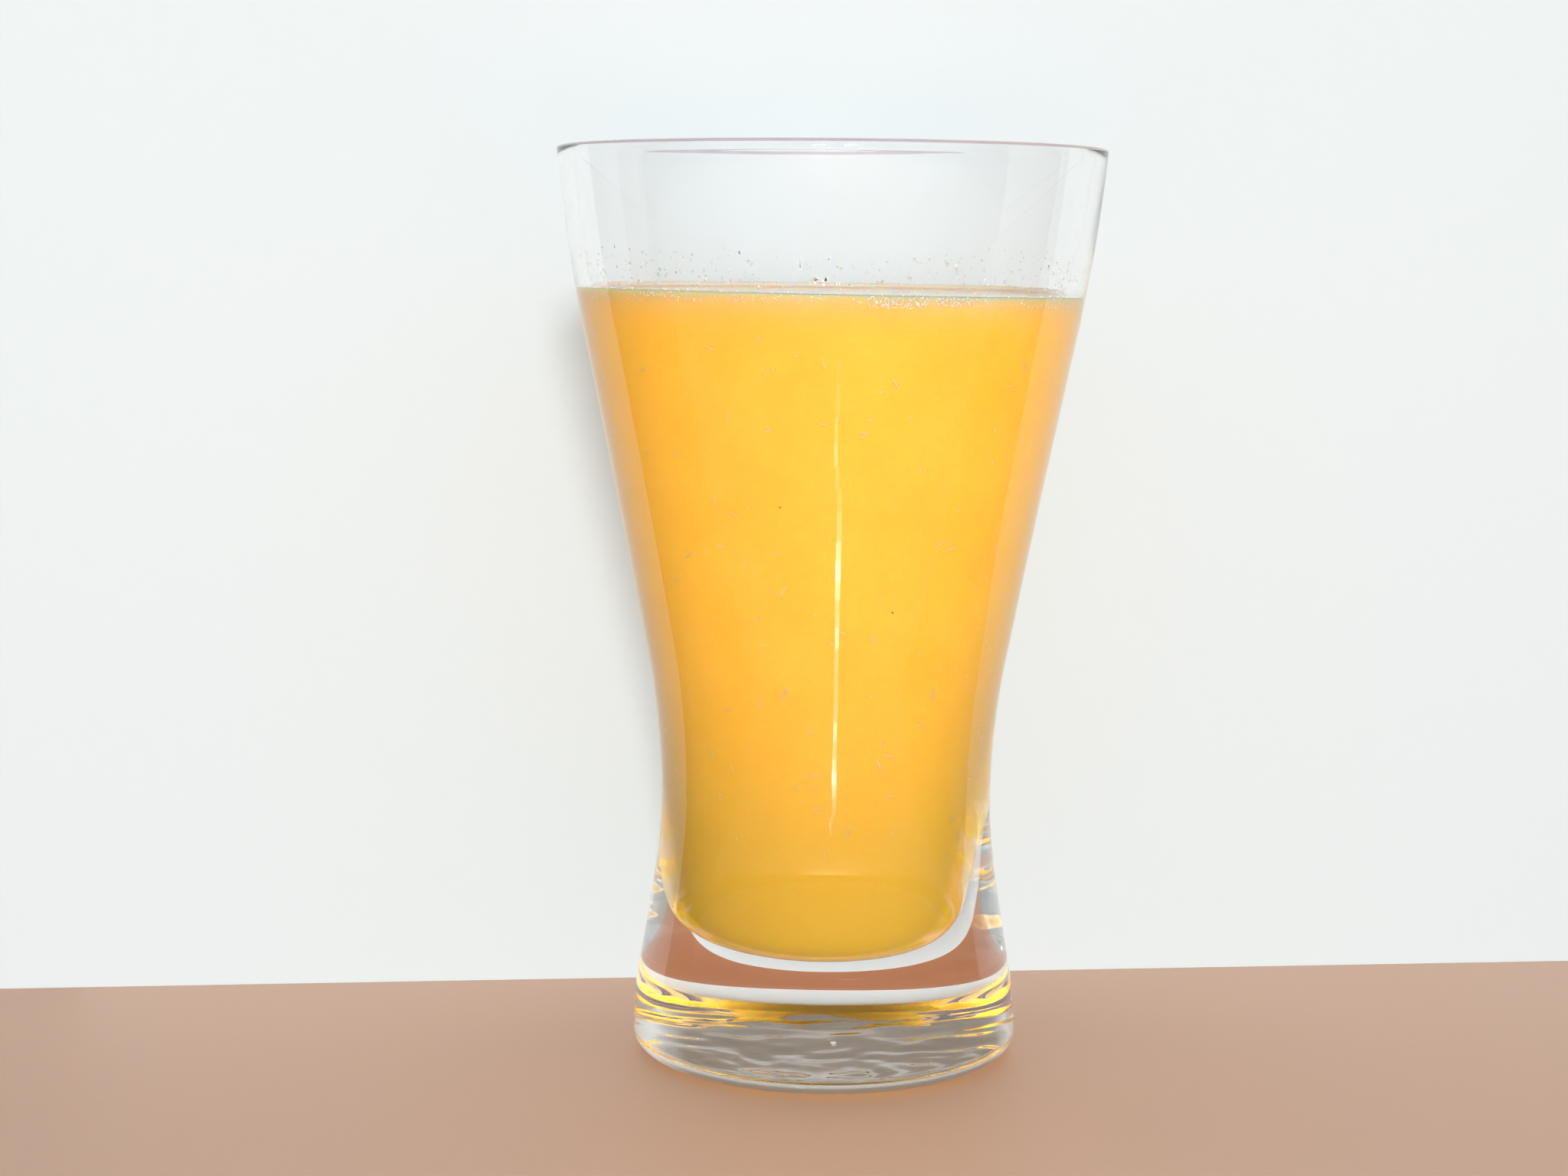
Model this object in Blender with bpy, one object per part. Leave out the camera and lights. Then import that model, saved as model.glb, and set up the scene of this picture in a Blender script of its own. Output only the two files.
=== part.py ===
"""A glass of fruit juice: a flared tumbler with a heavy base, filled to two centimetres below its rim.

The glass stands on z = 0, turned about the Z axis. Its bowl leans: at the bottom the bowl lies a little
towards -X, so that the wall there is thicker on the +X side, and its floor tilts down towards +X. All
lengths are in metres.
"""

import math
from collections import namedtuple

import bmesh
import bpy
from mathutils import Vector
from mathutils.geometry import interpolate_bezier

# The outside of the glass
HEIGHT = 0.1407
RIM_RADIUS = 0.0420
WAIST_RADIUS = 0.02574
WAIST_HEIGHT = 0.0405
FOOT_RADIUS = 0.0301
FOOT_HEIGHT = 0.0040
CONTACT_RADIUS = 0.0256

# The bowl inside it
LIP_THICKNESS = 0.0022
LIP_ROUNDING = 0.0005
BOWL_FLOOR = 0.0160
BOWL_LEAN = 0.0015
# The floor's slope towards +X. It is whole at the bottom and fades out up the wall, over a height.
FLOOR_TILT = 0.03
TILT_TOP = 0.040
TILT_FADE = 0.025

# The juice: its level on the axis, its surface's slope down towards +X, as the glass stands on a surface
# that isn't quite level, and the gap that keeps it clear of the glass
JUICE_LEVEL = 0.11925
JUICE_SLOPE = 0.013
GAP = 0.0003

# How finely the round shapes are cut
SIDES = 64
STEPS = 4
BOWL_STEPS = 9
HEEL_STEPS = 3
LIP_STEPS = 4
SHARP_ANGLE = math.radians(40)
MERGE_DISTANCE = 1e-6

GLASS_COLOR = (0.93, 0.96, 0.95, 1)
JUICE_COLOR = (0.94, 0.45, 0.03, 1)

# A place that a side runs through. The lean is how fast the radius grows with height there.
Station = namedtuple("Station", "height radius lean")

LIP_HEIGHT = HEIGHT - LIP_ROUNDING
OUTER_SIDE = (
    Station(FOOT_HEIGHT, FOOT_RADIUS, 0),
    Station(0.0200, 0.02803, -0.170),
    Station(WAIST_HEIGHT, WAIST_RADIUS, 0),
    Station(0.0620, 0.02776, 0.190),
    Station(0.1120, 0.03776, 0.208),
    Station(LIP_HEIGHT, RIM_RADIUS, 0.100),
)
INNER_SIDE = (
    Station(0.0360, 0.0174, 0.175),
    Station(0.0600, 0.0218, 0.250),
    Station(0.1080, 0.0341, 0.245),
    Station(LIP_HEIGHT, RIM_RADIUS - LIP_THICKNESS, 0.120),
)
# How far the curve of the bowl's floor reaches out before it turns up, and down before it turns in
FLOOR_REACH = 0.0184
SIDE_REACH = 0.0172


def clear_scene():
    for obj in list(bpy.data.objects):
        bpy.data.objects.remove(obj, do_unlink=True)


def side_line(stations):
    """Points (radius, height) from the first station to the last, joined smoothly."""
    line = [Vector((stations[0].radius, stations[0].height))]
    for low, high in zip(stations, stations[1:]):
        third = (high.height - low.height) / 3
        line += interpolate_bezier(
            Vector((low.radius, low.height)),
            Vector((low.radius + low.lean * third, low.height + third)),
            Vector((high.radius - high.lean * third, high.height - third)),
            Vector((high.radius, high.height)),
            STEPS + 1,
        )[1:]
    return line


def bowl_line():
    """The inside of the glass, from the middle of the bowl's floor up to the lip."""
    side = INNER_SIDE[0]
    floor = interpolate_bezier(
        Vector((0, BOWL_FLOOR)),
        Vector((FLOOR_REACH, BOWL_FLOOR)),
        Vector((side.radius - side.lean * SIDE_REACH, side.height - SIDE_REACH)),
        Vector((side.radius, side.height)),
        BOWL_STEPS + 1,
    )
    return floor + side_line(INNER_SIDE)[1:]


def lip_line():
    """Half a low oval over the rim, from the inner side to the outer one, without its last point."""
    half = LIP_THICKNESS / 2
    middle = Vector((RIM_RADIUS - half, LIP_HEIGHT))
    angles = [math.pi * step / LIP_STEPS for step in range(LIP_STEPS)]
    return [middle + Vector((-half * math.cos(a), LIP_ROUNDING * math.sin(a))) for a in angles]


def heel_line():
    """The rounded heel, from the foot's widest place down to the flat underside, without its first point."""
    width = FOOT_RADIUS - CONTACT_RADIUS
    angles = [math.pi / 2 * step / HEEL_STEPS for step in range(1, HEEL_STEPS + 1)]
    return [
        Vector((CONTACT_RADIUS + width * math.cos(a), FOOT_HEIGHT * (1 - math.sin(a))))
        for a in angles
    ]


def inset(line, distance):
    """The bowl's line moved by a distance along its normals, into the bowl."""
    moved = []
    for before, point, after in zip([line[0]] + line, line, line[1:] + [line[-1]]):
        along = (after - before).normalized()
        moved.append(point + distance * Vector((-along.y, along.x)))
    moved[0] = Vector((0, line[0].y + distance))
    return moved


def fill_line():
    """The side and floor of the juice, from the axis up to the first point well above its level."""
    wall = inset(bowl_line(), GAP)
    under = [point for point in wall if point.y < JUICE_LEVEL + JUICE_SLOPE * RIM_RADIUS]
    return wall[: len(under) + 1]


def turn(bm, line):
    """Adds the surface that a line makes when it turns about the axis."""
    verts = [bm.verts.new((point.x, 0, point.y)) for point in line]
    edges = [bm.edges.new(pair) for pair in zip(verts, verts[1:])]
    bmesh.ops.spin(
        bm, geom=verts + edges, cent=(0, 0, 0), axis=(0, 0, 1), angle=math.tau, steps=SIDES
    )


def lean_bowl(bm):
    """Moves what has been turned so far sideways, more towards the bottom and not at all at the lip, and
    tilts its floor."""
    for vert in bm.verts:
        height = vert.co.z
        vert.co.z -= FLOOR_TILT * vert.co.x * max(0, min(1, (TILT_TOP - height) / TILT_FADE))
        vert.co.x -= BOWL_LEAN * (1 - height / LIP_HEIGHT)


def level_off(bm):
    """Cuts what has been turned so far at the juice's level, and closes it with the juice's flat surface."""
    cut = bmesh.ops.bisect_plane(
        bm,
        geom=bm.verts[:] + bm.edges[:] + bm.faces[:],
        plane_co=(0, 0, JUICE_LEVEL),
        plane_no=(JUICE_SLOPE, 0, 1),
        clear_outer=True,
    )
    shore = [edge for edge in cut["geom_cut"] if isinstance(edge, bmesh.types.BMEdge)]
    bmesh.ops.contextual_create(bm, geom=shore)


def principled(name, color, roughness, ior, transmission=0):
    material = bpy.data.materials.new(name)
    material.use_nodes = True
    shader = material.node_tree.nodes["Principled BSDF"]
    shader.inputs["Base Color"].default_value = color
    shader.inputs["Roughness"].default_value = roughness
    shader.inputs["IOR"].default_value = ior
    shader.inputs["Transmission Weight"].default_value = transmission
    return material


def add_object(name, bm, material):
    """Closes the turned surfaces into one body and puts it in the scene."""
    bmesh.ops.remove_doubles(bm, verts=bm.verts, dist=MERGE_DISTANCE)
    bmesh.ops.recalc_face_normals(bm, faces=bm.faces)
    mesh = bpy.data.meshes.new(name)
    bm.to_mesh(mesh)
    bm.free()
    mesh.shade_smooth()
    mesh.set_sharp_from_angle(angle=SHARP_ANGLE)
    mesh.materials.append(material)
    obj = bpy.data.objects.new(name, mesh)
    bpy.context.scene.collection.objects.link(obj)


def make_glass():
    bm = bmesh.new()
    turn(bm, bowl_line())
    lean_bowl(bm)
    turn(bm, lip_line() + side_line(OUTER_SIDE)[::-1] + heel_line() + [Vector((0, 0))])
    add_object("glass", bm, principled("clear glass", GLASS_COLOR, 0.02, 1.52, 1))


def make_juice():
    bm = bmesh.new()
    turn(bm, fill_line())
    lean_bowl(bm)
    bmesh.ops.remove_doubles(bm, verts=bm.verts, dist=MERGE_DISTANCE)
    level_off(bm)
    add_object("juice", bm, principled("fruit juice", JUICE_COLOR, 0.25, 1.35))


clear_scene()
make_glass()
make_juice()
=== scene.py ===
"""The looks of a glass of fruit juice: a clear tumbler, cloudy juice with pulp, bubbles and droplets.

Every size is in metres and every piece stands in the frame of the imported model: the glass is turned about
the Z axis and stands on z = 0. The file is laid out as an add-on, with its tools in the sidebar.
"""

import math
import random
from collections import namedtuple

import bpy
from bpy.props import FloatProperty, FloatVectorProperty, IntProperty, PointerProperty
from mathutils import Matrix, Vector
from mathutils.geometry import interpolate_bezier


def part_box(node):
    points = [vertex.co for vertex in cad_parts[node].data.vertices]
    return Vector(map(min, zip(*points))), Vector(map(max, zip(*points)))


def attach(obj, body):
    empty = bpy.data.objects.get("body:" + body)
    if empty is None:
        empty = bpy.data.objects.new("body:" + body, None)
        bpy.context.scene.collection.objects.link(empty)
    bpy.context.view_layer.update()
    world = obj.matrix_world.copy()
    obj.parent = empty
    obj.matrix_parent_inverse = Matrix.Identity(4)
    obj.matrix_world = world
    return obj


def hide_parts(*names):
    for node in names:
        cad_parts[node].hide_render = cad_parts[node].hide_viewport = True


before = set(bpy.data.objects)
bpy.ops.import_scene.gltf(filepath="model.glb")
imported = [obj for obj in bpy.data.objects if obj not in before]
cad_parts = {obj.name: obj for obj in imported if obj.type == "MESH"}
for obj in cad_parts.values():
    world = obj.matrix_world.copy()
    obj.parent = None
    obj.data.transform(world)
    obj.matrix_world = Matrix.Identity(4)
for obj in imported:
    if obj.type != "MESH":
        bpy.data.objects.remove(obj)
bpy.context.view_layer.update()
GLASS_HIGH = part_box("glass")[1]

bl_info = {
    "name": "Glass of Fruit Juice",
    "version": (1, 0, 0),
    "blender": (4, 5, 0),
    "location": "3D View > Sidebar > Juice",
    "description": "Makes a filled tumbler with pulp, bubbles and droplets, and a plain studio for it",
    "category": "Object",
}

MM = 0.001

# How finely the turned pieces are cut
SIDES = 224
SIDE_STEP = 1.2 * MM
FLOOR_STEPS = 26
LIP_STEPS = 14
HEEL_STEPS = 12
UNDERSIDE_STEPS = 48
SURFACE_STEPS = 10
CLIMB_STEPS = 12
MERGE_DISTANCE = 0.001 * MM
SHARP_ANGLE = math.radians(40)

# A place that a side runs through. The lean is how fast the radius grows with height there.
Station = namedtuple("Station", "height radius lean")

GLASS_IOR = 1.52
JUICE_IOR = 1.35

# Where a small piece lies on the bowl's wall, and how it is turned there
Place = namedtuple("Place", "azimuth height turn")

# The direction of the camera's side of the glass, as an azimuth
FRONT = -math.pi / 2


def linear(hex_color):
    """The linear colour of an sRGB hex value."""
    parts = [int(hex_color[i : i + 2], 16) / 255 for i in (1, 3, 5)]
    return [c / 12.92 if c <= 0.04045 else ((c + 0.055) / 1.055) ** 2.4 for c in parts]


def length(name, description, default):
    return FloatProperty(name=name, description=description, default=default, min=0, unit="LENGTH")


def slope(name, description, default):
    return FloatProperty(name=name, description=description, default=default, min=0)


def count(name, description, default):
    return IntProperty(name=name, description=description, default=default, min=0)


def color(name, description, default):
    return FloatVectorProperty(
        name=name, description=description, default=linear(default), min=0, max=1, subtype="COLOR"
    )


class TumblerSettings(bpy.types.PropertyGroup):
    height: length("Height", "From the underside to the top of the lip", GLASS_HIGH.z)
    rim_radius: length("Rim radius", "Outer radius at the lip", GLASS_HIGH.x)
    waist_radius: length("Waist radius", "Outer radius at the narrowest place", 25.74 * MM)
    waist_height: length("Waist height", "Height of the narrowest place", 40.5 * MM)
    foot_radius: length("Foot radius", "Outer radius at the widest place of the base", 30.1 * MM)
    foot_height: length("Foot height", "Height at which the heel starts to round", 4.0 * MM)
    contact_radius: length("Contact radius", "Radius of the flat underside", 25.6 * MM)
    lip_thickness: length("Lip thickness", "Thickness of the wall at the lip", 2.2 * MM)
    lip_rounding: length("Lip rounding", "Height of the lip's low round top", 0.5 * MM)
    bowl_floor: length("Bowl floor", "Height of the lowest place inside", 16.0 * MM)
    bowl_lean: length("Bowl lean", "How far the bowl's bottom lies off the axis", 1.5 * MM)
    floor_tilt: slope("Floor tilt", "Slope of the bowl's floor towards +X", 0.03)
    dish_depth: length("Dish depth", "Depth of the shallow ring pressed in the underside", 0.35 * MM)
    ripple_height: length("Ripple height", "Depth of the uneven underside", 0.8 * MM)
    ripple_width: length("Ripple width", "Size of one wave on the underside", 6.0 * MM)
    glass_color: color("Glass colour", "Tint of the clear glass", "#FEFEFE")
    # Painted light: the lip's soft lilac-grey line stands in for the light that the rim catches
    lip_light_color: color("Lip light colour", "Colour of the lip's painted line of light", "#D3C8D6")


class JuiceSettings(bpy.types.PropertyGroup):
    level: length("Level", "Height of the juice's edge on the wall, in the middle", 119.25 * MM)
    slope: slope("Slope", "Slope of the surface towards +X", 0.013)
    meniscus_height: length("Meniscus height", "How far the juice climbs the wall", 0.7 * MM)
    meniscus_width: length("Meniscus width", "How far from the wall it starts to climb", 2.0 * MM)
    wall_reach: length("Wall reach", "How far the juice reaches into the wall, to close the gap", 0.08 * MM)
    body_color: color("Juice colour", "Colour of the cloudy juice", "#F4BA33")
    cloud_color: color("Cloud colour", "Colour of the faint clouds in the juice", "#FFC94A")
    pale_depth: length("Pale depth", "Depth at which a third of the pale layer is left", 1.7 * MM)
    pale_color: color("Edge colour", "Colour of the frothy layer just below the juice's edge", "#CEC3A2")
    surface_color: color("Surface colour", "Colour of the open surface", "#FFDEC4")
    # Painted shade: the juice is mixed towards this darker colour near the bottom
    bottom_shade_color: color("Bottom shade colour", "Painted shade, darker towards the bottom", "#D6AE38")


class PulpSettings(bpy.types.PropertyGroup):
    fibres: count("Fibres", "Number of pulp fibres by the wall", 320)
    fibre_length: length("Fibre length", "Length of a middling pulp fibre", 3.2 * MM)
    fibre_width: length("Fibre width", "Width of a pulp fibre at its middle", 0.26 * MM)
    fibre_color: color("Fibre colour", "Colour of the pulp", "#FFEDC0")
    speck_color: color("Speck colour", "Colour of the dark specks", "#8A5A1E")
    seed: count("Seed", "Start of the random draws", 7)


class BubbleSettings(bpy.types.PropertyGroup):
    bubbles: count("Bubbles", "Bubbles all along the edge of the juice", 800)
    bubble_width: length("Bubble width", "Width of the largest of them", 0.30 * MM)
    droplets: count("Droplets", "Droplets on the wall above", 360)
    droplet_width: length("Droplet width", "Width of a middling droplet", 0.28 * MM)
    # Spots of froth whose white is partly a painted glint of light
    froth_and_glint_spots: count("Froth and glint spots", "Small spots of froth and painted glints on the wall above", 110)
    seed: count("Seed", "Start of the random draws", 11)


class StageSettings(bpy.types.PropertyGroup):
    floor_color: color("Floor colour", "Colour of the plain floor", "#E4BDA5")
    backdrop_color: color("Backdrop colour", "Colour of the lit backdrop", "#DBE5E8")
    # Painted shadow: the card stands in for the juice's orange shadow behind the glass
    juice_shadow_color: color("Juice shadow colour", "Colour of the card that paints the juice's orange shadow seen in the glass's base", "#E18D56")
    room_color: color("Room colour", "Colour of the dim surroundings", "#969A9C")


def outer_stations(sizes):
    """The outside of the tumbler, from the foot up to the lip."""
    return (
        Station(sizes.foot_height, sizes.foot_radius, 0),
        Station(20.0 * MM, 28.03 * MM, -0.170),
        Station(sizes.waist_height, sizes.waist_radius, 0),
        Station(62.0 * MM, 27.76 * MM, 0.190),
        Station(112.0 * MM, 37.76 * MM, 0.208),
        Station(sizes.height - sizes.lip_rounding, sizes.rim_radius, 0.100),
    )


def inner_stations(sizes):
    """The wall of the bowl, from where its rounded floor ends up to the lip."""
    return (
        Station(36.0 * MM, 17.4 * MM, 0.175),
        Station(60.0 * MM, 21.8 * MM, 0.250),
        Station(108.0 * MM, 34.1 * MM, 0.245),
        Station(sizes.height - sizes.lip_rounding, sizes.rim_radius - sizes.lip_thickness, 0.120),
    )


# How far the curve of the bowl's floor reaches out before it turns up, and down before it turns in
FLOOR_REACH = 18.4 * MM
SIDE_REACH = 17.2 * MM

# The floor's tilt is whole at the bottom of the bowl and fades out up its wall, over a height
TILT_TOP = 40.0 * MM
TILT_FADE = 25.0 * MM


def radius_at(stations, height):
    """The radius of a side at a height, on the smooth line through its stations."""
    low, high = next(
        (pair for pair in zip(stations, stations[1:]) if height <= pair[1].height), stations[-2:]
    )
    rise = high.height - low.height
    t = (height - low.height) / rise
    return (
        (1 + 2 * t) * (1 - t) ** 2 * low.radius
        + t * (1 - t) ** 2 * rise * low.lean
        + t * t * (3 - 2 * t) * high.radius
        - t * t * (1 - t) * rise * high.lean
    )


def side_line(stations, low, high):
    """Points (radius, height) up a side, from one height to another."""
    steps = max(1, round((high - low) / SIDE_STEP))
    heights = [low + (high - low) * step / steps for step in range(steps + 1)]
    return [Vector((radius_at(stations, height), height)) for height in heights]


def floor_line(sizes, reach=0):
    """The rounded floor of the bowl, from the axis to its wall, moved into the glass by a reach."""
    side = inner_stations(sizes)[0]
    return interpolate_bezier(
        Vector((0, sizes.bowl_floor - reach)),
        Vector((FLOOR_REACH, sizes.bowl_floor - reach)),
        Vector((side.radius + reach - side.lean * SIDE_REACH, side.height - SIDE_REACH)),
        Vector((side.radius + reach, side.height)),
        FLOOR_STEPS,
    )


def arc(center, start, end, width, height, steps):
    """Points on a part of an ellipse, from one angle to another, without the first one."""
    angles = [start + (end - start) * step / steps for step in range(1, steps + 1)]
    return [center + Vector((width * math.cos(a), height * math.sin(a))) for a in angles]


def tumbler_line(sizes):
    """The glass's outline in three parts: up the bowl; over the lip, down the outside and round the heel;
    and along the underside to the axis."""
    inner, outer = inner_stations(sizes), outer_stations(sizes)
    lip_middle = Vector((sizes.rim_radius - sizes.lip_thickness / 2, outer[-1].height))
    bowl = floor_line(sizes) + side_line(inner, inner[0].height, inner[-1].height)[1:]
    lip = arc(lip_middle, math.pi, 0, sizes.lip_thickness / 2, sizes.lip_rounding, LIP_STEPS)
    outside = side_line(outer, outer[0].height, outer[-1].height)[-2::-1]
    heel_middle = Vector((sizes.contact_radius, sizes.foot_height))
    heel_width = sizes.foot_radius - sizes.contact_radius
    heel = arc(heel_middle, 0, -math.pi / 2, heel_width, sizes.foot_height, HEEL_STEPS)
    underside = [
        Vector((sizes.contact_radius * (1 - step / UNDERSIDE_STEPS), 0))
        for step in range(1, UNDERSIDE_STEPS + 1)
    ]
    return bowl, lip + outside + heel, underside


def juice_line(sizes, juice):
    """The juice's outline in two parts: from the middle of its surface up the meniscus, and down the wall
    to the axis."""
    inner = inner_stations(sizes)
    flat = juice.level - juice.meniscus_height
    wall = side_line(inner, inner[0].height, juice.level)
    wall = [point + Vector((juice.wall_reach, 0)) for point in wall]
    shore = wall[-1].x - juice.meniscus_width
    surface = [Vector((shore * step / SURFACE_STEPS, flat)) for step in range(SURFACE_STEPS + 1)]
    climb = interpolate_bezier(
        Vector((shore, flat)),
        Vector((shore + 0.75 * juice.meniscus_width, flat)),
        Vector((wall[-1].x - 0.1 * juice.meniscus_width, juice.level - 0.55 * juice.meniscus_height)),
        wall[-1],
        CLIMB_STEPS,
    )
    floor = floor_line(sizes, juice.wall_reach)
    return surface + climb[1:], wall[-2::-1] + floor[-2::-1]


def leaned(sizes, point):
    """A point of the turned bowl, moved to where the bowl leans: most at its bottom, where its floor tilts
    too, and not at all at the lip."""
    tilt = sizes.floor_tilt * max(0, min(1, (TILT_TOP - point.z) / TILT_FADE))
    lean = sizes.bowl_lean * (1 - point.z / (sizes.height - sizes.lip_rounding))
    return Vector((point.x - lean, point.y, point.z - tilt * point.x))


# How far below the surface its slope is taken up
SLOPE_DEPTH = 12.0 * MM


def level_at(juice, across):
    """The height of the juice's edge on the wall, at a distance across from the axis."""
    return juice.level - juice.slope * across


def poured(sizes, juice, point):
    """A point of the turned juice, moved up or down the wall to where the sloping surface has it."""
    share = max(0, min(1, (point.z - juice.level + SLOPE_DEPTH) / SLOPE_DEPTH))
    height = point.z - juice.slope * point.x * share
    inner = inner_stations(sizes)
    widening = radius_at(inner, height) / radius_at(inner, point.z) if share else 1
    return Vector((point.x * widening, point.y * widening, height))


def start_piece():
    """Leaves edit mode and deselects all, so that operators act on the new piece alone."""
    if bpy.context.mode != "OBJECT":
        bpy.ops.object.mode_set(mode="OBJECT")
    bpy.ops.object.select_all(action="DESELECT")


def draw_line(name, points):
    """Draws an outline in the XZ plane, as one vertex extruded from point to point."""
    start_piece()
    bpy.ops.mesh.primitive_plane_add(size=MM, location=(0, 0, 0))
    piece = bpy.context.object
    piece.name = piece.data.name = name
    bpy.ops.object.mode_set(mode="EDIT")
    bpy.ops.mesh.select_all(action="SELECT")
    bpy.ops.mesh.merge(type="CENTER")
    bpy.ops.transform.translate(value=(points[0].x, 0, points[0].y))
    for here, there in zip(points, points[1:]):
        step = (there.x - here.x, 0, there.y - here.y)
        bpy.ops.mesh.extrude_vertices_move(TRANSFORM_OT_translate={"value": step})
    bpy.ops.object.mode_set(mode="OBJECT")
    return piece


def turn(piece):
    """Turns a drawn outline about the Z axis into a closed body with its faces outwards."""
    bpy.ops.object.mode_set(mode="EDIT")
    bpy.ops.mesh.select_all(action="SELECT")
    bpy.ops.mesh.spin(steps=SIDES, angle=math.tau, center=(0, 0, 0), axis=(0, 0, 1))
    bpy.ops.mesh.select_all(action="SELECT")
    bpy.ops.mesh.remove_doubles(threshold=MERGE_DISTANCE)
    bpy.ops.mesh.normals_make_consistent(inside=False)
    bpy.ops.object.mode_set(mode="OBJECT")
    bpy.ops.object.shade_smooth_by_angle(angle=SHARP_ANGLE)


def mark(piece, name, indices):
    """Puts points of the outline in a vertex group, which turning copies to what comes from them."""
    piece.vertex_groups.new(name=name).add(list(indices), 1, "REPLACE")


def marked(piece, name):
    group = piece.vertex_groups[name].index
    return [v for v in piece.data.vertices if any(g.group == group for g in v.groups)]


def add_node(tree, kind, inputs=None, **settings):
    """Adds a node with its settings. Each input is a value, or the output that feeds it."""
    node = tree.nodes.new(kind)
    for name, value in settings.items():
        setattr(node, name, value)
    for name, value in (inputs or {}).items():
        if isinstance(value, bpy.types.NodeSocket):
            tree.links.new(value, node.inputs[name])
        else:
            node.inputs[name].default_value = value
    return node


def opaque(rgb):
    return (*rgb, 1)


def new_material(name, inputs):
    """A material with one Principled shader. Returns it with its node tree and the shader."""
    material = bpy.data.materials.new(name)
    material.use_nodes = True
    shader = material.node_tree.nodes["Principled BSDF"]
    for socket, value in inputs.items():
        shader.inputs[socket].default_value = value
    return material, material.node_tree, shader


def mottled(name, inputs, spot, detail, first, second):
    """A material whose colour wanders between two, over spots of a size."""
    material, tree, shader = new_material(name, inputs)
    place = add_node(tree, "ShaderNodeTexCoord").outputs["Object"]
    spots = add_node(
        tree, "ShaderNodeTexNoise", {"Vector": place, "Scale": 1 / spot, "Detail": detail}
    ).outputs["Fac"]
    shades = add_node(
        tree,
        "ShaderNodeMix",
        {"Factor": spots, 6: opaque(first), 7: opaque(second)},
        data_type="RGBA",
    ).outputs[2]
    tree.links.new(shades, shader.inputs["Base Color"])
    return material


def uneven(name, inputs, wave, detail, depth):
    """A clear material with waves of a size and a depth in its surface."""
    material, tree, shader = new_material(name, inputs)
    place = add_node(tree, "ShaderNodeTexCoord").outputs["Object"]
    waves = add_node(
        tree, "ShaderNodeTexNoise", {"Vector": place, "Scale": 1 / wave, "Detail": detail}
    ).outputs["Fac"]
    bump = add_node(tree, "ShaderNodeBump", {"Height": waves, "Distance": depth})
    tree.links.new(bump.outputs["Normal"], shader.inputs["Normal"])
    return material


def fire_polished_glass(tint):
    """Soda-lime glass, pressed in a mould and fire-polished: clear and smooth, but not quite flat. Long and
    shallow waves in its wall make highlights wander."""
    return uneven(
        "fire-polished soda-lime glass",
        {"Base Color": opaque(tint), "Roughness": 0, "IOR": GLASS_IOR, "Transmission Weight": 1},
        wave=22 * MM,
        detail=1.5,
        depth=0.05 * MM,
    )


def lip_with_painted_light(tint):
    """The lip, with a painted line of light in its colour: it shows as a soft line instead of a lens."""
    return mottled(
        "lip of the glass, with a painted line of light",
        {"Roughness": 0.12, "IOR": GLASS_IOR, "Transmission Weight": 0.35},
        spot=6 * MM,
        detail=2,
        first=tint,
        second=[0.8 * part for part in tint],
    )


# The juice's patterns: the size of its clouds, how far they move the pale layer up and down, how far that
# layer starts above the edge, and the heights between which painted shade darkens it towards the bottom
CLOUD_SIZE = 11 * MM
CLOUD_WANDER = 1.5 * MM
PALE_START = 0.75 * MM
SHADE_TOP = 80 * MM
SHADE_BOTTOM = 10 * MM


def cloudy_juice(name, juice, ior, reach, roughness, pale, lift):
    """Orange juice with its pulp. Fine particles scatter the light near the wall, so it looks deep and soft
    with faint clouds. It is pale and frothy at its surface, and painted shade darkens it towards the bottom.
    The reach is how far light travels in it, and the lift moves the pale layer down."""
    material, tree, shader = new_material(
        name,
        {
            "Roughness": roughness,
            "IOR": ior,
            "Subsurface Weight": 1,
            "Subsurface Radius": (1.0, 0.42, 0.1),
            "Subsurface Scale": reach,
        },
    )
    place = add_node(tree, "ShaderNodeTexCoord").outputs["Object"]
    clouds = add_node(
        tree, "ShaderNodeTexNoise", {"Vector": place, "Scale": 1 / CLOUD_SIZE, "Detail": 3}
    ).outputs["Fac"]
    body = add_node(
        tree,
        "ShaderNodeMix",
        {"Factor": clouds, 6: opaque(juice.body_color), 7: opaque(juice.cloud_color)},
        data_type="RGBA",
    ).outputs[2]
    height = add_node(
        tree,
        "ShaderNodeVectorMath",
        {0: place, 1: (juice.slope, 0, 1)},
        operation="DOT_PRODUCT",
    ).outputs["Value"]
    # Painted shade: the juice grows darker towards the bottom
    shade_share = add_node(
        tree,
        "ShaderNodeMapRange",
        {"Value": height, "From Min": SHADE_TOP, "From Max": SHADE_BOTTOM},
        interpolation_type="SMOOTHSTEP",
    ).outputs["Result"]
    shaded_body = add_node(
        tree,
        "ShaderNodeMix",
        {"Factor": shade_share, 6: body, 7: opaque(juice.bottom_shade_color)},
        data_type="RGBA",
    ).outputs[2]
    wander = add_node(
        tree, "ShaderNodeMath", {0: clouds, 1: CLOUD_WANDER, 2: height}, operation="MULTIPLY_ADD"
    ).outputs["Value"]
    rise = add_node(
        tree,
        "ShaderNodeMath",
        {0: wander, 1: juice.level + PALE_START - lift},
        operation="SUBTRACT",
    ).outputs["Value"]
    steps = add_node(
        tree, "ShaderNodeMath", {0: rise, 1: juice.pale_depth}, operation="DIVIDE"
    ).outputs["Value"]
    near_top = add_node(
        tree, "ShaderNodeMath", {0: steps}, operation="EXPONENT", use_clamp=True
    ).outputs["Value"]
    paler = add_node(
        tree,
        "ShaderNodeMix",
        {"Factor": near_top, 6: shaded_body, 7: opaque(pale)},
        data_type="RGBA",
    ).outputs[2]
    tree.links.new(paler, shader.inputs["Base Color"])
    return material


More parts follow.
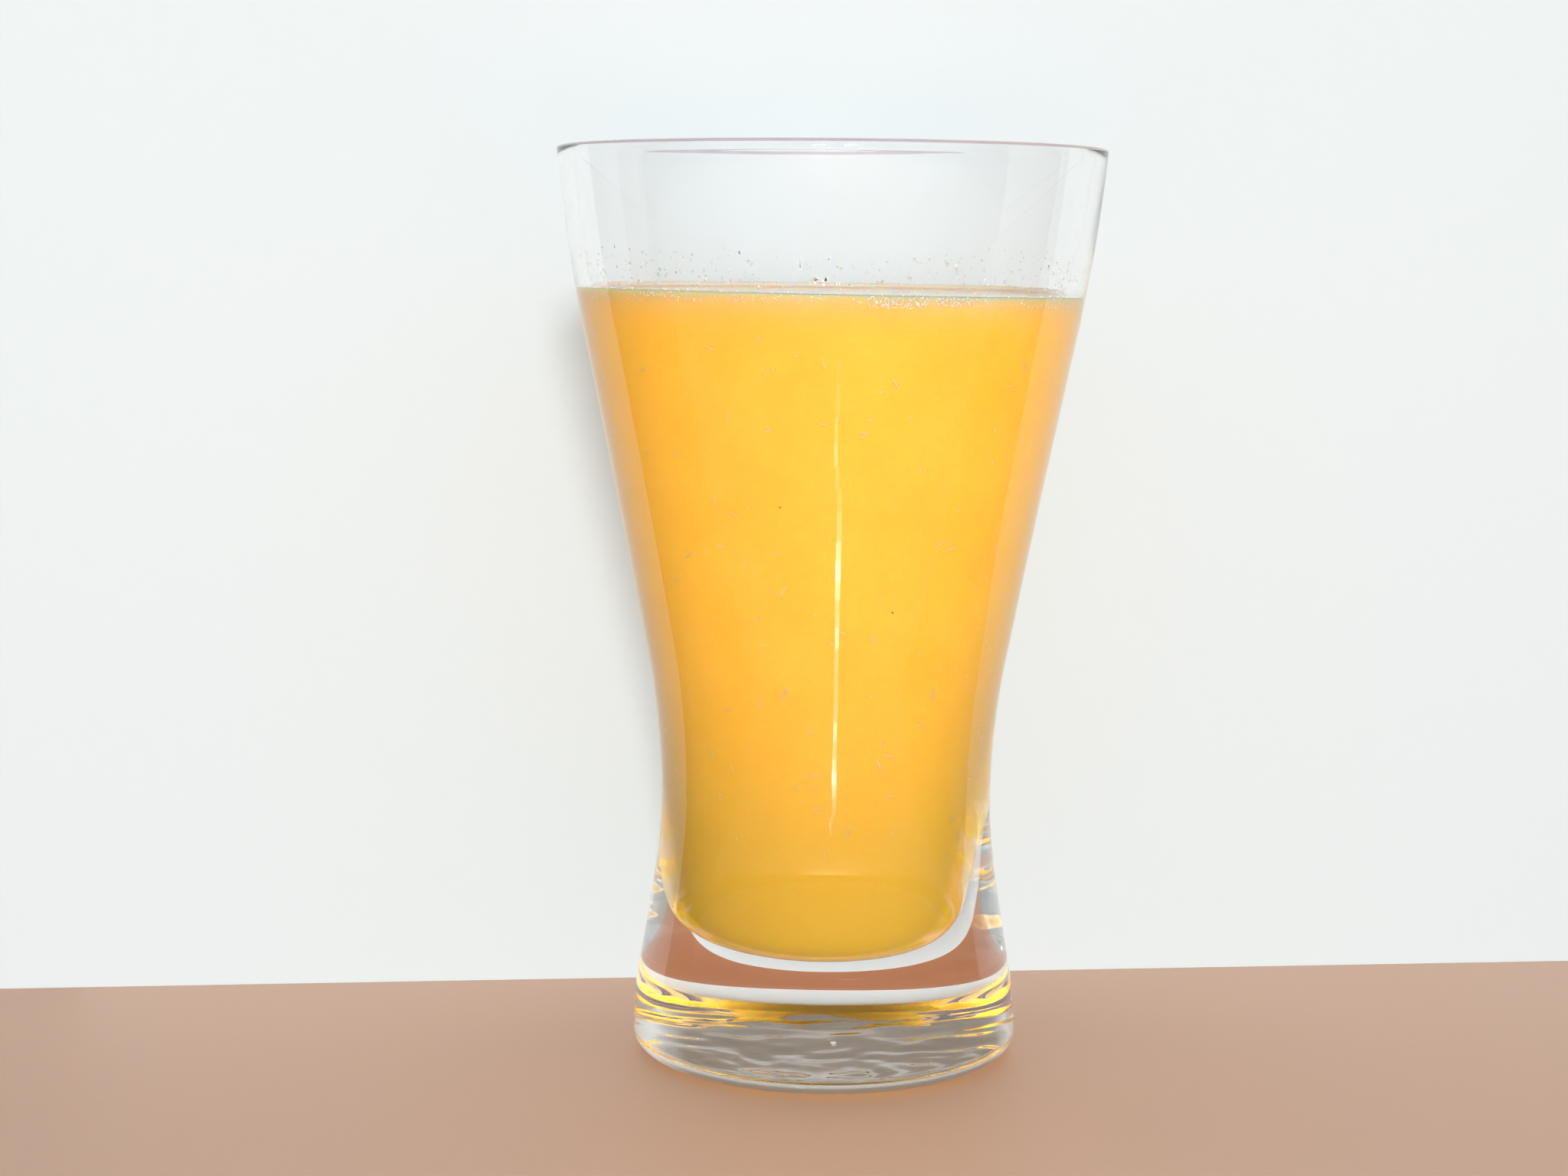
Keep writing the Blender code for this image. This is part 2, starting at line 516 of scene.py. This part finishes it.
def orange_pulp(name, rgb):
    """Torn juice sacs of an orange: soft and wet, so light sinks in and they glow a little."""
    return mottled(
        name,
        {
            "Roughness": 0.3,
            "IOR": 1.38,
            "Specular IOR Level": 0.2,
            "Subsurface Weight": 1,
            "Subsurface Radius": (1.0, 0.6, 0.2),
            "Subsurface Scale": 0.6 * MM,
        },
        spot=4 * MM,
        detail=2,
        first=rgb,
        second=[0.82 * part for part in rgb],
    )


def froth():
    """Tiny air bubbles with a skin of juice: nearly white, with a wet shine. On the spots and dabs on the
    wall above the juice this white is partly a painted glint of light.
    """
    return mottled(
        "juice froth and painted glints",
        {
            "Roughness": 0.08,
            "IOR": JUICE_IOR,
            "Subsurface Weight": 1,
            "Subsurface Radius": (1.0, 0.9, 0.8),
            "Subsurface Scale": 0.1 * MM,
        },
        spot=1.5 * MM,
        detail=0,
        first=linear("#FFFFFF"),
        second=linear("#FFF4E0"),
    )


def thin_juice():
    """Droplets that a swirl left on the glass: clear and round-backed, so each is a small lens."""
    return uneven(
        "clear juice droplets",
        {
            "Base Color": opaque(linear("#FFFBEF")),
            "Roughness": 0,
            "IOR": 1.34,
            "Transmission Weight": 1,
        },
        wave=0.8 * MM,
        detail=0,
        depth=0.03 * MM,
    )


def wrap(point, place, stretch, bow, sizes):
    """A point of a small master piece, wrapped onto the bowl's wall. The master lies along X, with Y up the
    wall and Z out of it, and is one unit long."""
    along = point.x * stretch.x
    across = point.y * stretch.y + bow * (point.x * point.x - 0.25)
    turned = Matrix.Rotation(place.turn, 2) @ Vector((along, across))
    height = place.height + turned.y
    radius = radius_at(inner_stations(sizes), height)
    azimuth = place.azimuth + turned.x / radius
    radius += point.z * stretch.z
    return leaned(sizes, Vector((radius * math.cos(azimuth), radius * math.sin(azimuth), height)))


def scatter(name, master, places, sizes):
    """Copies a master onto the wall for each (place, stretch, bow), and joins the copies to one piece."""
    start_piece()
    copies = []
    for place, stretch, bow in places:
        piece = master.copy()
        piece.data = master.data.copy()
        bpy.context.collection.objects.link(piece)
        for vert in piece.data.vertices:
            vert.co = wrap(vert.co, place, stretch, bow, sizes)
        copies.append(piece)
    bpy.data.objects.remove(master, do_unlink=True)
    for piece in copies:
        piece.select_set(True)
    bpy.context.view_layer.objects.active = copies[0]
    bpy.ops.object.join()
    joined = bpy.context.object
    joined.name = joined.data.name = name
    bpy.ops.object.mode_set(mode="EDIT")
    bpy.ops.mesh.select_all(action="SELECT")
    bpy.ops.mesh.normals_make_consistent(inside=False)
    bpy.ops.object.mode_set(mode="OBJECT")
    bpy.ops.object.shade_smooth()
    return joined


def thread_master(sides, rings):
    """A round thread one unit long and one wide, tapered to both ends, drawn ring by ring."""
    tip = 0.1
    start_piece()
    bpy.ops.mesh.primitive_circle_add(vertices=sides, radius=tip, fill_type="NGON")
    thread = bpy.context.object
    bpy.ops.object.mode_set(mode="EDIT")
    bpy.ops.mesh.select_all(action="SELECT")
    bpy.ops.transform.translate(value=(0, 0, -0.5))
    width = tip
    for ring in range(1, rings + 1):
        wanted = 0.5 * max(tip, math.sin(math.pi * ring / rings))
        bpy.ops.mesh.extrude_region_move(TRANSFORM_OT_translate={"value": (0, 0, 1 / rings)})
        bpy.ops.transform.resize(value=(wanted / width, wanted / width, 1))
        width = wanted
    bpy.ops.object.mode_set(mode="OBJECT")
    thread.data.transform(Matrix.Rotation(math.pi / 2, 4, "Y"))
    return thread


# How far out from its middle a bead starts to be pressed flat
BEAD_SHOULDER = 0.1


def bead_master(sides, rings, flat_side):
    """A round bead one unit wide, with its outer side pressed flat, as it lies against the glass."""
    start_piece()
    bpy.ops.mesh.primitive_uv_sphere_add(segments=sides, ring_count=rings, radius=0.5)
    bead = bpy.context.object
    bpy.ops.object.mode_set(mode="EDIT")
    bpy.ops.mesh.select_all(action="DESELECT")
    bpy.ops.object.mode_set(mode="OBJECT")
    for vert in bead.data.vertices:
        vert.select = vert.co.z > BEAD_SHOULDER
    bpy.ops.object.mode_set(mode="EDIT")
    bpy.ops.transform.resize(value=(1, 1, flat_side), center_override=(0, 0, 0))
    bpy.ops.object.mode_set(mode="OBJECT")
    return bead


# Radius of the wall where the juice's edge lies
EDGE_RADIUS = 36.5 * MM


def place_at(across, height, turn=0.0):
    """A place on the front of the wall, by its distance to the right of the axis and its height."""
    return Place(FRONT + math.asin(across / EDGE_RADIUS), height, turn)


# How much of the lip's round top has the painted line of light
LIP_SHARE = 0.9


class JUICE_OT_tumbler(bpy.types.Operator):
    """Turn the tumbler's outline into clear glass with an uneven underside"""

    bl_idname = "juice_glass.tumbler"
    bl_label = "Tumbler"
    bl_options = {"REGISTER", "UNDO"}

    def execute(self, context):
        sizes = context.scene.juice_glass_tumbler
        bowl, outside, underside = tumbler_line(sizes)
        tumbler = draw_line("tumbler", bowl + outside + underside)
        mark(tumbler, "bowl", range(len(bowl) - 1))
        mark(tumbler, "underside", range(len(bowl) + len(outside), len(bowl + outside + underside)))
        turn(tumbler)
        for vert in marked(tumbler, "bowl"):
            vert.co = leaned(sizes, vert.co)
        self.ripple(tumbler, sizes)
        tumbler.data.materials.append(fire_polished_glass(sizes.glass_color))
        tumbler.data.materials.append(lip_with_painted_light(sizes.lip_light_color))
        lip_foot = sizes.height - LIP_SHARE * sizes.lip_rounding
        for face in tumbler.data.polygons:
            face.material_index = int(face.center.z > lip_foot)
        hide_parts("glass")
        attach(tumbler, "root")
        # Lamps reach the juice straight through the glass, which is far less grainy than caustics.
        tumbler.visible_shadow = False
        return {"FINISHED"}

    def ripple(self, tumbler, sizes):
        """The underside as the mould and the flame left it: a shallow ring, and gentle waves all over."""
        for vert in marked(tumbler, "underside"):
            reach = math.hypot(vert.co.x, vert.co.y) / sizes.contact_radius
            vert.co.z += sizes.dish_depth * math.sin(math.pi * reach) ** 2
        waves = bpy.data.textures.new("underside waves", "CLOUDS")
        waves.noise_scale = sizes.ripple_width
        waves.noise_depth = 1
        ripple = tumbler.modifiers.new("ripple", "DISPLACE")
        ripple.texture = waves
        ripple.texture_coords = "LOCAL"
        ripple.direction = "Z"
        ripple.mid_level = 0
        ripple.strength = sizes.ripple_height
        ripple.vertex_group = "underside"
        bpy.ops.object.modifier_apply(modifier=ripple.name)


# Faces of the juice that look up more than this are its open surface
OPEN_FACING = 0.2


class JUICE_OT_juice(bpy.types.Operator):
    """Turn the juice's outline, with a meniscus and a wall side that reaches just into the glass"""

    bl_idname = "juice_glass.juice"
    bl_label = "Juice"
    bl_options = {"REGISTER", "UNDO"}

    def execute(self, context):
        sizes, juice = context.scene.juice_glass_tumbler, context.scene.juice_glass_juice
        surface, wall = juice_line(sizes, juice)
        drink = draw_line("fruit_juice", surface + wall)
        turn(drink)
        for vert in drink.data.vertices:
            vert.co = leaned(sizes, poured(sizes, juice, vert.co))
        against_glass = cloudy_juice(
            "orange juice against glass",
            juice,
            ior=JUICE_IOR / GLASS_IOR,
            reach=2.5 * MM,
            roughness=0,
            pale=juice.pale_color,
            lift=0,
        )
        open_surface = cloudy_juice(
            "orange juice, open surface",
            juice,
            ior=JUICE_IOR,
            reach=0.3 * MM,
            roughness=0.05,
            pale=juice.surface_color,
            lift=2 * MM,
        )
        drink.data.materials.append(against_glass)
        drink.data.materials.append(open_surface)
        for face in drink.data.polygons:
            face.material_index = int(face.normal.z > OPEN_FACING)
        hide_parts("juice")
        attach(drink, "root")
        return {"FINISHED"}


# Where the fibres lie: above the heavy base, and below the juice's edge
PULP_LOW = 24 * MM
PULP_BELOW_EDGE = 4 * MM

# How much thicker fibres and specks are than what the wall hides, so that their crests show
FIBRE_CREST = 0.07 * MM
SPECK_CREST = 0.1 * MM

# Dark specks in the juice: (to the right of the axis, height, width)
DARK_SPECKS = ((-8.3 * MM, 88.5 * MM, 0.45 * MM), (13.5 * MM, 72.8 * MM, 0.5 * MM))


class JUICE_OT_pulp(bpy.types.Operator):
    """Sink fine pulp fibres and a few dark specks in the juice by the wall"""

    bl_idname = "juice_glass.pulp"
    bl_label = "Pulp"
    bl_options = {"REGISTER", "UNDO"}

    def execute(self, context):
        sizes, pulp = context.scene.juice_glass_tumbler, context.scene.juice_glass_pulp
        juice = context.scene.juice_glass_juice
        hidden = 2 * juice.wall_reach
        draw = random.Random(pulp.seed)
        places = []
        for _ in range(pulp.fibres):
            height = draw.uniform(PULP_LOW, juice.level - PULP_BELOW_EDGE)
            place = Place(draw.uniform(0, math.tau), height, draw.uniform(-1.5, 1.5))
            long = pulp.fibre_length * draw.choice((0.3, 0.5, 0.7, 1.0, 1.4))
            wide = pulp.fibre_width * draw.uniform(0.7, 1.3)
            bow = long * draw.uniform(-0.35, 0.35)
            places.append((place, Vector((long, wide, hidden + FIBRE_CREST)), bow))
        fibres = scatter("pulp_fibres", thread_master(sides=5, rings=7), places, sizes)
        fibres.data.materials.append(orange_pulp("orange pulp", pulp.fibre_color))
        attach(fibres, "root")

        specks = [
            (place_at(across, height, turn=0.6), Vector((wide, wide, hidden + SPECK_CREST)), 0)
            for across, height, wide in DARK_SPECKS
        ]
        seeds = scatter("dark_specks", bead_master(sides=8, rings=6, flat_side=0.8), specks, sizes)
        seeds.data.materials.append(orange_pulp("specks of peel", pulp.speck_color))
        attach(seeds, "root")
        return {"FINISHED"}


# Larger bubbles on the front: (to the right of the axis, below the juice's edge, width)
LARGE_BUBBLES = (
    (6.0 * MM, 1.0 * MM, 0.50 * MM),
    (11.8 * MM, 1.2 * MM, 0.55 * MM),
    (26.6 * MM, 0.8 * MM, 0.45 * MM),
    (-19.3 * MM, 1.3 * MM, 0.40 * MM),
)

# Where the bubbles crowd: (middle to the right of the axis, half width, deepest below the edge, how many)
BUBBLE_CROWDS = (
    (8.5 * MM, 4.5 * MM, 1.8 * MM, 170),
    (16.0 * MM, 7.0 * MM, 1.4 * MM, 130),
    (-24.0 * MM, 6.0 * MM, 1.0 * MM, 50),
)

# How far below the edge a bubble lies at least and, outside the crowds, at most. The highest of those
# outside the crowds are just above it.
CROWD_TOP = 0.2 * MM
BUBBLE_TOP, BUBBLE_BOTTOM = -0.2 * MM, 1.5 * MM


class JUICE_OT_bubbles(bpy.types.Operator):
    """Set small bubbles along the edge of the juice"""

    bl_idname = "juice_glass.bubbles"
    bl_label = "Bubbles"
    bl_options = {"REGISTER", "UNDO"}

    def execute(self, context):
        sizes, juice = context.scene.juice_glass_tumbler, context.scene.juice_glass_juice
        beads = context.scene.juice_glass_bubbles
        draw = random.Random(beads.seed)
        places = []
        for _ in range(beads.bubbles):
            spot = Place(draw.uniform(0, math.tau), draw.uniform(BUBBLE_TOP, BUBBLE_BOTTOM), 0)
            places.append(self.bubble(juice, spot, beads.bubble_width * draw.uniform(0.3, 1.0)))
        for middle, half, deepest, count in BUBBLE_CROWDS:
            for _ in range(count):
                across = middle + half * draw.triangular(-1, 1, 0)
                depth = draw.uniform(CROWD_TOP, deepest)
                wide = beads.bubble_width * draw.uniform(0.3, 1.0)
                places.append(self.bubble(juice, place_at(across, depth), wide))
        for across, depth, wide in LARGE_BUBBLES:
            places.append(self.bubble(juice, place_at(across, depth), wide))
        bead = bead_master(sides=8, rings=6, flat_side=0.8)
        bubbles = scatter("meniscus_bubbles", bead, places, sizes)
        bubbles.data.materials.append(froth())
        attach(bubbles, "root")
        return {"FINISHED"}

    def bubble(self, juice, spot, wide):
        """A bubble at a spot whose height is how far it lies below the juice's edge. It is thick enough to
        show outside the juice, which reaches into the wall."""
        edge = level_at(juice, EDGE_RADIUS * math.cos(spot.azimuth))
        thick = 0.6 * wide + 2.5 * juice.wall_reach
        return spot._replace(height=edge - spot.height), Vector((wide, wide, thick)), 0


# Dabs of froth on the front of the wall, whose white is partly a painted glint of light: (to the right of
# the axis, height, width, height of itself)
FROTH_AND_GLINT_DABS = (
    (-4.4 * MM, 123.4 * MM, 0.45 * MM, 2.2 * MM),
    (-2.2 * MM, 121.1 * MM, 1.1 * MM, 0.8 * MM),
    (-1.2 * MM, 121.0 * MM, 0.8 * MM, 1.1 * MM),
    (-0.6 * MM, 124.2 * MM, 0.45 * MM, 0.5 * MM),
    (0.6 * MM, 120.7 * MM, 0.6 * MM, 0.6 * MM),
    (2.1 * MM, 120.5 * MM, 0.5 * MM, 0.4 * MM),
    (29.8 * MM, 123.6 * MM, 0.8 * MM, 1.0 * MM),
    (31.5 * MM, 122.6 * MM, 0.5 * MM, 0.7 * MM),
    (-22.8 * MM, 122.6 * MM, 0.7 * MM, 0.5 * MM),
    (-20.4 * MM, 124.0 * MM, 0.8 * MM, 0.5 * MM),
    (-18.9 * MM, 124.6 * MM, 0.5 * MM, 0.5 * MM),
    (-17.6 * MM, 121.4 * MM, 0.6 * MM, 0.5 * MM),
    (-14.5 * MM, 121.0 * MM, 0.5 * MM, 0.5 * MM),
    (-12.7 * MM, 124.9 * MM, 0.5 * MM, 0.7 * MM),
)

# Each dab is a clump of beads
DAB_BEADS = 5
DAB_THICKNESS = 0.12 * MM

# Small drops: where they start above the juice's edge, how far up droplets and spots of froth with painted
# glints reach, how much they crowd towards the juice, and how wide a middling spot of froth is
SPLASH_START = 0.4 * MM
DROPLET_REACH = 5.5 * MM
SPOT_REACH = 4.5 * MM
SPLASH_CROWDING = 1.5
SPOT_WIDTH = 0.2 * MM


class JUICE_OT_droplets(bpy.types.Operator):
    """Leave clear droplets, and dabs of froth partly painted as glints of light, on the wall just above the
    juice
    """

    bl_idname = "juice_glass.droplets"
    bl_label = "Droplets, Froth and Glints"
    bl_options = {"REGISTER", "UNDO"}

    def execute(self, context):
        sizes, juice = context.scene.juice_glass_tumbler, context.scene.juice_glass_juice
        beads = context.scene.juice_glass_bubbles
        draw = random.Random(beads.seed + 1)
        places = [
            self.splash(draw, juice, beads.droplet_width, DROPLET_REACH) for _ in range(beads.droplets)
        ]
        drop = bead_master(sides=10, rings=6, flat_side=0.15)
        droplets = scatter("wall_droplets", drop, places, sizes)
        droplets.data.materials.append(thin_juice())
        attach(droplets, "root")

        places = [self.splash(draw, juice, SPOT_WIDTH, SPOT_REACH) for _ in range(beads.froth_and_glint_spots)]
        for across, height, wide, high in FROTH_AND_GLINT_DABS:
            for _ in range(DAB_BEADS):
                right = across + wide * draw.uniform(-0.45, 0.45)
                up = height + high * draw.uniform(-0.45, 0.45)
                bead_wide, bead_high = wide * draw.uniform(0.25, 0.6), high * draw.uniform(0.25, 0.6)
                places.append((place_at(right, up), Vector((bead_wide, bead_high, DAB_THICKNESS)), 0))
        # The dabs' white is partly a painted glint of light on the wet wall
        dabs = scatter("froth_and_glint_dabs", bead_master(sides=10, rings=6, flat_side=0.15), places, sizes)
        dabs.data.materials.append(froth())
        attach(dabs, "root")
        return {"FINISHED"}

    def splash(self, draw, juice, width, reach):
        """A small drop somewhere on the wall, more often close to the juice."""
        azimuth = draw.uniform(0, math.tau)
        rise = SPLASH_START + draw.random() ** SPLASH_CROWDING * reach
        wide = width * draw.choice((0.5, 0.7, 1.0, 1.4))
        high = wide * draw.uniform(0.8, 1.3)
        height = level_at(juice, EDGE_RADIUS * math.cos(azimuth)) + rise
        return Place(azimuth, height, 0), Vector((wide, high, 0.5 * wide)), 0


def add_lamp(name, place, aim, size, radiance, hidden_from):
    """A rectangular lamp that faces the point it is aimed at. Its radiance is what a camera would read."""
    lamp = bpy.data.lights.new(name, "AREA")
    lamp.shape = "RECTANGLE"
    lamp.size, lamp.size_y = size
    lamp.energy = math.pi * radiance * size[0] * size[1]
    lamp_object = bpy.data.objects.new(name, lamp)
    bpy.context.scene.collection.objects.link(lamp_object)
    lamp_object.location = place
    lamp_object.rotation_euler = (Vector(aim) - Vector(place)).to_track_quat("-Z", "Y").to_euler()
    for rays in hidden_from:
        setattr(lamp_object, "visible_" + rays, False)
    return lamp_object


FLOOR_SIZE = 6
FLOOR_LEVEL = -0.02 * MM

# The backdrop: its distance behind the glass, its height, how it is turned, and its parts from the left
# end to the right end of each. Only the first part shows in reflections.
BOARD_DISTANCE = 45 * MM
BOARD_HEIGHT = 460 * MM
BOARD_TURN = math.radians(6)
BOARD_PARTS = (("backdrop", -126 * MM, 270 * MM), ("backdrop_end", -224 * MM, -126 * MM))

# The card on the floor along the backdrop's foot: a painted orange shadow of the juice
CARD_LENGTH = 260 * MM
CARD_WIDTH = 16 * MM
CARD_GAP = 0.2 * MM
CARD_LEVEL = 0.1 * MM

# Kinds of rays that don't meet a lamp: one that only lights, and one that is only reflected or refracted
UNSEEN = ("camera", "glossy", "transmission")
MIRRORED = ("camera", "diffuse")

# The lamps: (name, place, aim, (width, length), radiance). The glows are the dim studio and its floor in
# front of the glass, and the catches are the highlights on its left and right flanks.
KEY = ("key", (0.08, -1.2, 0.29), (0, 0, 0.07), (0.4, 0.3), 35)
FILLS = (
    ("left fill", (-0.5, -0.1, 0.18), (0, 0, 0.07), (0.5, 0.5), 0.75),
    ("right fill", (0.5, -0.1, 0.18), (0, 0, 0.07), (0.5, 0.5), 1.4),
)
GLOWS = (
    ("room glow", (0, -1.5, 0.5), (0, 0, 0.13), (5, 0.48), 0.2),
    ("floor glow", (0, -0.47, 0.3 * MM), (0, -0.47, 1), (1.4, 0.74), 0.2),
)
CATCHES = (
    ("left catch", (-45 * MM, -0.44, 0.15), (0, 0, 0.1), (36 * MM, 12 * MM), 60),
    ("right catch", (47 * MM, -0.44, 0.15), (0, 0, 0.1), (36 * MM, 12 * MM), 60),
)

# What the fills light: everything but the clear glass and its droplets
LIT_BY_FILLS = ("fruit_juice", "pulp_fibres", "dark_specks", "meniscus_bubbles", "froth_and_glint_dabs")

# The small lamps just above the floor in front, whose reflection is the streak down the glass: (to the
# right, in front, width, length, radiance). They lie side by side, since one would hide another.
STREAK_LEVEL = 0.5 * MM
STREAK = (
    (13.0 * MM, 258 * MM, 6 * MM, 12 * MM, 0.7),
    (12.5 * MM, 245 * MM, 7 * MM, 14 * MM, 1.2),
    (9.5 * MM, 232 * MM, 6 * MM, 12 * MM, 2.2),
    (9.0 * MM, 221 * MM, 6 * MM, 10 * MM, 4.0),
    (12.0 * MM, 211 * MM, 7 * MM, 10 * MM, 1.6),
    (16.0 * MM, 201 * MM, 8 * MM, 10 * MM, 1.8),
    (16.0 * MM, 191 * MM, 9 * MM, 10 * MM, 3.0),
    (14.5 * MM, 182 * MM, 9 * MM, 8 * MM, 7.0),
    (13.5 * MM, 174 * MM, 9 * MM, 8 * MM, 14.0),
    (13.0 * MM, 166.5 * MM, 8 * MM, 7 * MM, 8.0),
    (12.5 * MM, 158 * MM, 7 * MM, 10 * MM, 4.5),
    (12.0 * MM, 149 * MM, 6 * MM, 8 * MM, 9.0),
    (11.5 * MM, 141 * MM, 6 * MM, 8 * MM, 4.0),
    (11.0 * MM, 133 * MM, 6 * MM, 8 * MM, 3.0),
)

# The camera: its place, its focal length in millimetres, how it tilts down and how it is rolled
CAMERA_PLACE = (-6.8 * MM, -443 * MM, 125.8 * MM)
CAMERA_LENS = 65.9
CAMERA_TILT = math.radians(90 - 6.8)
CAMERA_ROLL = math.radians(0.5)
CAMERA_NEAR = 10 * MM


class JUICE_OT_studio(bpy.types.Operator):
    """Set up the plain floor, the lamps and the camera"""

    bl_idname = "juice_glass.studio"
    bl_label = "Studio"
    bl_options = {"REGISTER", "UNDO"}

    def execute(self, context):
        stage = context.scene.juice_glass_stage
        self.floor(stage)
        self.backdrop(stage)
        self.painted_juice_shadow_card(stage)
        self.lamps()
        self.room(context.scene, stage)
        self.camera(context.scene)
        return {"FINISHED"}

    def sheet(self, name, width, depth, place):
        """A flat sheet, put in its place by a matrix that is then applied."""
        start_piece()
        bpy.ops.mesh.primitive_plane_add(size=1)
        sheet = bpy.context.object
        sheet.name = sheet.data.name = name
        sheet.matrix_world = place @ Matrix.Diagonal((width, depth, 1, 1))
        bpy.ops.object.transform_apply(location=True, rotation=True, scale=True)
        return sheet

    def floor(self, stage):
        floor = self.sheet("floor", FLOOR_SIZE, FLOOR_SIZE, Matrix.Translation((0, 0, FLOOR_LEVEL)))
        material = new_material(
            "matt painted board", {"Base Color": opaque(stage.floor_color), "Roughness": 0.6}
        )[0]
        floor.data.materials.append(material)

    def backdrop(self, stage):
        """A white board close behind the glass, in two parts of which the glass's side reflects only the
        nearer. Seen from its back it isn't there, so that the glass can be looked at from behind."""
        paper = self.one_sided_paper(stage)
        for name, left, right in BOARD_PARTS:
            place = (
                Matrix.Translation((0, BOARD_DISTANCE, BOARD_HEIGHT / 2))
                @ Matrix.Rotation(BOARD_TURN, 4, "Z")
                @ Matrix.Translation(((left + right) / 2, 0, 0))
                @ Matrix.Rotation(math.pi / 2, 4, "X")
            )
            board = self.sheet(name, right - left, BOARD_HEIGHT, place)
            board.data.materials.append(paper)
            board.visible_glossy = name == "backdrop"

    def painted_juice_shadow_card(self, stage):
        """A card on the floor along the backdrop's foot: a painted shadow of the juice, orange as the light
        that comes through the juice. Only the clear base shows it."""
        place = (
            Matrix.Translation((0, BOARD_DISTANCE, CARD_LEVEL))
            @ Matrix.Rotation(BOARD_TURN, 4, "Z")
            @ Matrix.Translation((0, -CARD_WIDTH / 2 - CARD_GAP, 0))
        )
        card = self.sheet("painted_juice_shadow_card", CARD_LENGTH, CARD_WIDTH, place)
        material = new_material(
            "painted juice shadow card", {"Base Color": opaque(stage.juice_shadow_color), "Roughness": 0.8}
        )[0]
        card.data.materials.append(material)
        for rays in ("camera", "diffuse", "glossy", "shadow"):
            setattr(card, "visible_" + rays, False)

    def one_sided_paper(self, stage):
        material = bpy.data.materials.new("white paper backdrop")
        material.use_nodes = True
        tree = material.node_tree
        tree.nodes.clear()
        paper = add_node(
            tree, "ShaderNodeBsdfDiffuse", {"Color": opaque(stage.backdrop_color)}
        ).outputs["BSDF"]
        nothing = add_node(tree, "ShaderNodeBsdfTransparent").outputs["BSDF"]
        back_side = add_node(tree, "ShaderNodeNewGeometry").outputs["Backfacing"]
        one_sided = add_node(
            tree, "ShaderNodeMixShader", {0: back_side, 1: paper, 2: nothing}
        ).outputs["Shader"]
        add_node(tree, "ShaderNodeOutputMaterial", {"Surface": one_sided})
        return material

    def lamps(self):
        """A soft key in front; two fills that reach the juice alone, as light that wanders through cloudy
        juice from its other sides does; the dim glow of the studio and its floor; and the lamps whose
        reflections are the streak and the two highlights."""
        add_lamp(*KEY, UNSEEN)
        juicy = bpy.data.collections.new("lit by the fills")
        for name in LIT_BY_FILLS:
            juicy.objects.link(bpy.data.objects[name])
        for fill in FILLS:
            add_lamp(*fill, UNSEEN).light_linking.receiver_collection = juicy
        for glow in GLOWS:
            add_lamp(*glow, MIRRORED)
        for number, (across, ahead, width, long, radiance) in enumerate(STREAK, 1):
            place, above = (across, -ahead, STREAK_LEVEL), (across, -ahead, 1)
            add_lamp("streak %d" % number, place, above, (width, long), radiance, MIRRORED)
        for catch in CATCHES:
            add_lamp(*catch, MIRRORED)

    def room(self, scene, stage):
        world = bpy.data.worlds.new("dim room")
        scene.world = world
        world.use_nodes = True
        world.node_tree.nodes["Background"].inputs["Color"].default_value = opaque(stage.room_color)

    def camera(self, scene):
        """The camera, and enough bounces for light to cross both walls of the glass and what is in it."""
        camera = bpy.data.cameras.new("camera")
        camera.lens = CAMERA_LENS
        camera.clip_start = CAMERA_NEAR
        camera_object = bpy.data.objects.new("camera", camera)
        scene.collection.objects.link(camera_object)
        camera_object.matrix_world = (
            Matrix.Translation(CAMERA_PLACE)
            @ Matrix.Rotation(CAMERA_TILT, 4, "X")
            @ Matrix.Rotation(CAMERA_ROLL, 4, "Z")
        )
        scene.camera = camera_object
        scene.view_settings.view_transform = "Standard"
        scene.cycles.max_bounces = 32
        scene.cycles.transmission_bounces = 32
        scene.cycles.glossy_bounces = 16
        scene.cycles.diffuse_bounces = 4
        scene.cycles.sample_clamp_indirect = 4


class JUICE_PT_panel(bpy.types.Panel):
    """The steps of the making, each with its settings"""

    bl_label = "Glass of Fruit Juice"
    bl_idname = "JUICE_PT_panel"
    bl_space_type = "VIEW_3D"
    bl_region_type = "UI"
    bl_category = "Juice"

    def draw(self, context):
        for setting, operator in STEPS:
            box = self.layout.box()
            box.operator(operator.bl_idname)
            if setting:
                for name in SETTINGS[setting].__annotations__:
                    box.prop(getattr(context.scene, setting), name)


SETTINGS = {
    "juice_glass_tumbler": TumblerSettings,
    "juice_glass_juice": JuiceSettings,
    "juice_glass_pulp": PulpSettings,
    "juice_glass_bubbles": BubbleSettings,
    "juice_glass_stage": StageSettings,
}

# Each step of the making, with the settings that the panel shows with it
STEPS = (
    ("juice_glass_tumbler", JUICE_OT_tumbler),
    ("juice_glass_juice", JUICE_OT_juice),
    ("juice_glass_pulp", JUICE_OT_pulp),
    ("juice_glass_bubbles", JUICE_OT_bubbles),
    ("", JUICE_OT_droplets),
    ("juice_glass_stage", JUICE_OT_studio),
)

CLASSES = (*SETTINGS.values(), *(operator for _, operator in STEPS), JUICE_PT_panel)


def register():
    for cls in CLASSES:
        bpy.utils.register_class(cls)
    for name, settings in SETTINGS.items():
        setattr(bpy.types.Scene, name, PointerProperty(type=settings))


def unregister():
    for name in SETTINGS:
        delattr(bpy.types.Scene, name)
    for cls in reversed(CLASSES):
        bpy.utils.unregister_class(cls)


def main():
    register()
    bpy.ops.juice_glass.tumbler()
    bpy.ops.juice_glass.juice()
    bpy.ops.juice_glass.pulp()
    bpy.ops.juice_glass.bubbles()
    bpy.ops.juice_glass.droplets()
    bpy.ops.juice_glass.studio()


if __name__ == "__main__":
    main()
